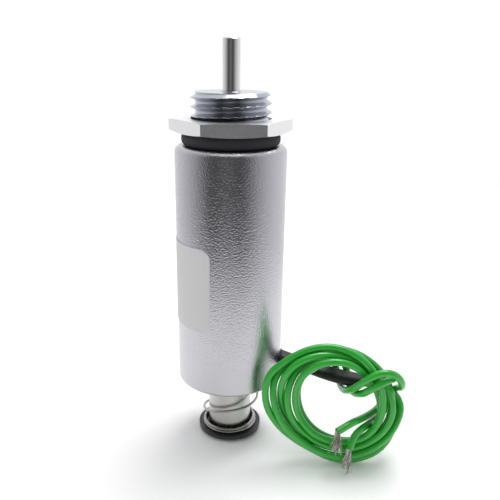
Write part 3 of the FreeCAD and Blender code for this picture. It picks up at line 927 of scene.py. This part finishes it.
class LeadSet:
    """The two leads, their coil and the black sleeve."""

    PLANE = CoilPlane()
    OUTER = Track((
        (12.9, 1.4), (14.5, 3.3), (15.7, 1.3), (14.1, 0.8),
        (13.1, 1.3), (16.4, 0.3), (15.45, 0.9), (13.55, 1.4),
    ))
    SECOND = Track((
        (12.6, 2.2), (15.1, 2.5), (13.3, -0.4), (12.1, -0.6),
        (11.85, -0.3), (14.7, 0.3), (14.15, 2.4), (12.5, 3.0),
    ))
    THIRD = Track((
        (12.2, 1.7), (12.8, 1.0), (12.7, 1.2), (11.65, 1.2),
        (11.4, 1.9), (12.8, 1.1), (14.3, -0.8), (12.3, 0.5),
    ))
    FOURTH = Track((
        (11.45, 0.7), (12.8, -0.6), (11.4, -0.6), (10.4, -0.5),
        (10.25, 0.3), (11.4, -0.1), (12.45, 1.5), (10.75, 2.6),
    ))
    FIFTH = Track((
        (12.1, -0.8), (10.7, -0.7), (9.7, -0.6), (8.6, -0.6),
        (8.65, -0.6), (10.1, 0.8), (11.5, -0.1), (11.55, -0.9),
    ))
    INNER = Track((
        (10.15, 0.4), (10.0, 1.1), (10.5, 1.2), (8.95, 1.2),
        (8.25, 1.2), (8.75, 1.3), (10.3, 1.4), (9.45, 2.6),
    ))

    def leads(self) -> list[Lead]:
        """The two leads with their own turns and ends."""
        return [
            Lead(
                name="lead_a",
                side=-0.5,
                turns=(self.SECOND, self.THIRD, self.FOURTH),
                entry=((9.9, 19.4, 3.2), (12.8, 18.5, 4.1)),
                nudges=((5.5, 1.2, 0.0), (6.5, -0.4, 0.0)),
                wrap=(
                    (-1.7, 25.5, 4.0), (0.4, 24.7, 6.4), (2.4, 22.9, 8.4), (3.7, 20.6, 8.9),
                    (4.1, 18.4, 8.2), (4.3, 17.0, 6.0), (4.6, 16.9, 3.4), (5.3, 17.6, 1.1),
                    (6.3, 19.2, -1.7), (7.8, 21.4, -3.4), (9.7, 23.4, -4.2), (11.9, 24.0, -3.6),
                    (13.5, 23.0, -0.9), (14.0, 21.7, 1.5), (13.9, 20.6, 4.0), (13.7, 18.9, 6.6),
                    (13.5, 16.7, 7.8), (13.2, 14.3, 7.4), (12.4, 12.4, 6.0), (10.6, 11.6, 4.2),
                    (8.5, 11.6, 1.8), (6.5, 12.2, -0.9),
                ),
                tail=((16.8, -17.3, 13.9), (12.9, -18.3, 11.4)),
                tip=(12.8, -18.9, 5.6),
                replaced=("lead_a_run", "lead_a_tail", "conductor_a", "lead_coil"),
                seed=11,
            ),
            Lead(
                name="lead_b",
                side=0.5,
                turns=(self.OUTER, self.FIFTH, self.INNER),
                entry=((10.0, 20.0, 5.0), (12.8, 19.1, 5.9)),
                nudges=((3.5, -0.6, 0.0), (4.5, -0.3, 0.0), (5.5, 1.25, 0.0)),
                wrap=(
                    (-1.6, 24.6, 4.4), (-0.6, 24.2, 7.4), (0.2, 23.0, 10.0), (0.9, 20.6, 11.3),
                    (1.4, 18.0, 10.3), (1.8, 16.7, 7.4), (2.3, 17.0, 4.0), (3.2, 18.4, 0.8),
                    (4.9, 20.6, -1.8), (7.1, 23.1, -2.9), (9.7, 24.9, -3.2), (12.2, 25.0, -3.2),
                    (14.3, 24.0, -2.8), (15.3, 22.1, -1.7), (15.8, 20.1, 0.3), (15.9, 18.7, 2.7),
                    (15.6, 17.6, 5.3), (15.2, 15.8, 7.5), (14.9, 13.4, 8.0), (14.0, 11.3, 6.8),
                    (12.2, 9.9, 4.8), (10.2, 9.8, 2.2), (8.6, 10.6, -0.9),
                ),
                tail=((18.4, -17.4, 12.3), (16.6, -18.2, 10.1), (15.9, -18.4, 6.9)),
                tip=(15.2, -19.0, 0.9),
                replaced=("lead_b_run", "lead_b_tail", "conductor_b", "lead_coil"),
                seed=23,
            ),
        ]

    def build(self) -> None:
        """Make both leads and dress the sleeve."""
        leads = self.leads()
        for lead, points in zip(leads, Settling().settle(leads, self.PLANE)):
            lead.build(points)
        dress(frame["lead_sleeve"], SLEEVE)
        dress(frame["lead_grommet"], RUBBER)


@dataclass
class MountingEnd:
    """The threaded bushing with its nut and seal."""

    top: float = 84.94
    low: float = 73.44
    radius: float = 9.0
    depth: float = 1.08
    pitch: float = 2.0
    start: float = 0.62
    bevel: float = 0.9
    crest: float = 0.08
    hollow: float = 2.1
    columns: int = 132
    rows_per_pitch: int = 22

    INSIDE = (
        (9.0, 71.94), (11.15, 71.94), (11.15, 68.94), (5.35, 68.94), (5.35, 47.5), (4.85, 47.5),
        (3.45, 50.8), (2.7, 50.8), (2.7, 82.94), (2.2, 82.94), (2.2, 84.64), (2.5, 84.94),
    )

    def thread_radius(self, height: float, turn: float) -> float:
        """The thread's surface at a height and a share of a turn."""
        phase = ((height - self.start) / self.pitch - turn) % 1
        off = min(phase, 1 - phase) * self.pitch
        down = min(1.0, max(0.0, (off - self.crest) / (self.pitch / 2 - self.crest)))
        radius = self.radius - self.depth * (1 - (1 - down) ** self.hollow)
        return min(radius, self.radius - self.bevel + (self.top - height))

    def thread(self) -> bpy.types.Object:
        """The bushing with its real thread.

        Returns:
            One closed mesh that stands for the CAD bushing.
        """
        count = round((self.top - self.low) / self.pitch * self.rows_per_pitch)
        heights = [self.top - (self.top - self.low) * row / count for row in range(count + 1)]
        points: list[Vector] = []
        for height in heights:
            for column in range(self.columns):
                share = column / self.columns
                points.append(polar(self.thread_radius(height, share), TURN * share, height))
        for radius, height in self.INSIDE:
            points += [polar(radius, TURN * k / self.columns, height) for k in range(self.columns)]
        rows = len(points) // self.columns
        faces = []
        for row in range(rows):
            for column in range(self.columns):
                here = row * self.columns + column
                beside = row * self.columns + (column + 1) % self.columns
                below = ((row + 1) % rows) * self.columns
                faces.append([here, below + column, below + (column + 1) % self.columns, beside])
        thing = mesh_object("bushing_with_thread", points, faces, 40)
        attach(thing, Body.CASE.value)
        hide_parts("threaded_bushing")
        dress(thing, ZINC_THREAD)
        return thing

    def build(self) -> None:
        """Make the thread, and dress the nut and the seal."""
        self.thread()
        dress(frame["hex_nut"], ZINC_NUT)
        bevel(frame["hex_nut"], 0.12)
        dress(frame["seal_ring"], RUBBER)


class CaseAssembly:
    """The case with its rear plate and label."""

    def build(self) -> None:
        """Dress the pieces of the case."""
        dress(frame["case_shell"], NICKEL)
        dress(frame["rear_end_plate"], ZINC)
        dress(frame["label_sticker"], FILM)


@dataclass
class PlungerGroup:
    """The plunger, its pin and clip, and the spring round it."""

    wire: float = 0.6
    stroke: float = 10.0
    steps: int = 32

    SEATED = (
        (-780, 6.5, 2.22), (-600, 6.5, 2.22), (-470, 6.5, 2.24),
        (-400, 6.45, 2.5), (-330, 6.4, 2.8), (-220, 6.35, 2.82),
        (-120, 6.35, 2.84), (-60, 6.3, 2.98), (0, 6.1, 3.3),
    )
    OPEN = (
        (0, 6.1, 3.3), (90, 6.3, 4.4), (180, 6.6, 5.9), (270, 6.5, 8.3), (360, 7.1, 9.5),
        (450, 6.8, 11.2), (540, 6.6, 12.9), (630, 6.5, 14.7), (700, 6.45, 15.75),
    )
    HELD = ((700, 6.45, 15.75), (800, 6.45, 16.1), (900, 6.45, 16.3), (1060, 6.45, 16.44))

    def helix(self, stations: Sequence[Point]) -> list[Vector]:
        """A smooth line round the axis through stations of angle, radius and height.

        Args:
            stations: The angle in degrees, the radius and the height of each station.

        Returns:
            The line's points.
        """
        pieces = []
        radii = [station[1] for station in stations]
        heights = [station[2] for station in stations]
        for index in range(len(stations) - 1):
            low, high = stations[index][0], stations[index + 1][0]
            count = max(2, round((high - low) / 360 * self.steps))
            for step in range(count + (index == len(stations) - 2)):
                share = step / count
                angle = math.radians(low + (high - low) * share)
                pieces.append(
                    polar(catmull(radii, index + share), angle, catmull(heights, index + share))
                )
        return pieces

    def coil(self, name: str, stations: Sequence[Point], body: Body) -> bpy.types.Object:
        """A stretch of the spring's wire on one body."""
        points, faces = tube_mesh(self.helix(stations), self.wire / 2, 12)
        thing = mesh_object(name, points, faces, 60)
        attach(thing, body.value)
        dress(thing, SPRING_WIRE)
        return thing

    def spring(self) -> None:
        """The spring in three stretches: seated on the clip, open, and held at the case."""
        seated = self.coil("spring_seated_turns", self.SEATED, Body.PLUNGER)
        middle = self.coil("spring_open_turns", self.OPEN, Body.CASE)
        held = self.coil("spring_held_turns", self.HELD, Body.CASE)
        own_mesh(middle)
        for thing in (seated, middle, held):
            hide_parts("return_spring")

    def build(self) -> None:
        """Make the spring and dress the moving pieces."""
        self.spring()
        dress(frame["plunger"], BRUSHED)
        dress(frame["push_pin"], POLISHED)
        dress(frame["retaining_clip"], BLACK_OXIDE)
        bevel(frame["retaining_clip"], 0.14)
        dress(frame["stop_washer"], BRONZE)


class InnerParts:
    """What the case hides."""

    FINISHES = {
        "guide_tube": BRASS,
        "coil_bobbin": NYLON,
        "copper_winding": COPPER,
        "insulation_tape": TAPE,
        "terminal_tab_a": BRASS,
        "terminal_tab_b": BRASS,
        "pin_bearing": BRONZE,
    }

    def build(self) -> None:
        """Dress the hidden pieces."""
        for node, finish in self.FINISHES.items():
            dress(frame[node], finish)


def main() -> None:
    """Build the camera, the studio and each sub-assembly in turn."""
    logging.basicConfig(level=logging.INFO, format="%(name)s: %(message)s")
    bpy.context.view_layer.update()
    steps: tuple[tuple[str, Callable[[], None]], ...] = (
        ("camera", PhotoCamera().place),
        ("studio", Studio().build),
        ("leads", LeadSet().build),
        ("mounting end", MountingEnd().build),
        ("case", CaseAssembly().build),
        ("plunger", PlungerGroup().build),
        ("inner parts", InnerParts().build),
    )
    for name, step in steps:
        step()
        LOG.info("%s built", name)


if __name__ == "__main__":
    main()
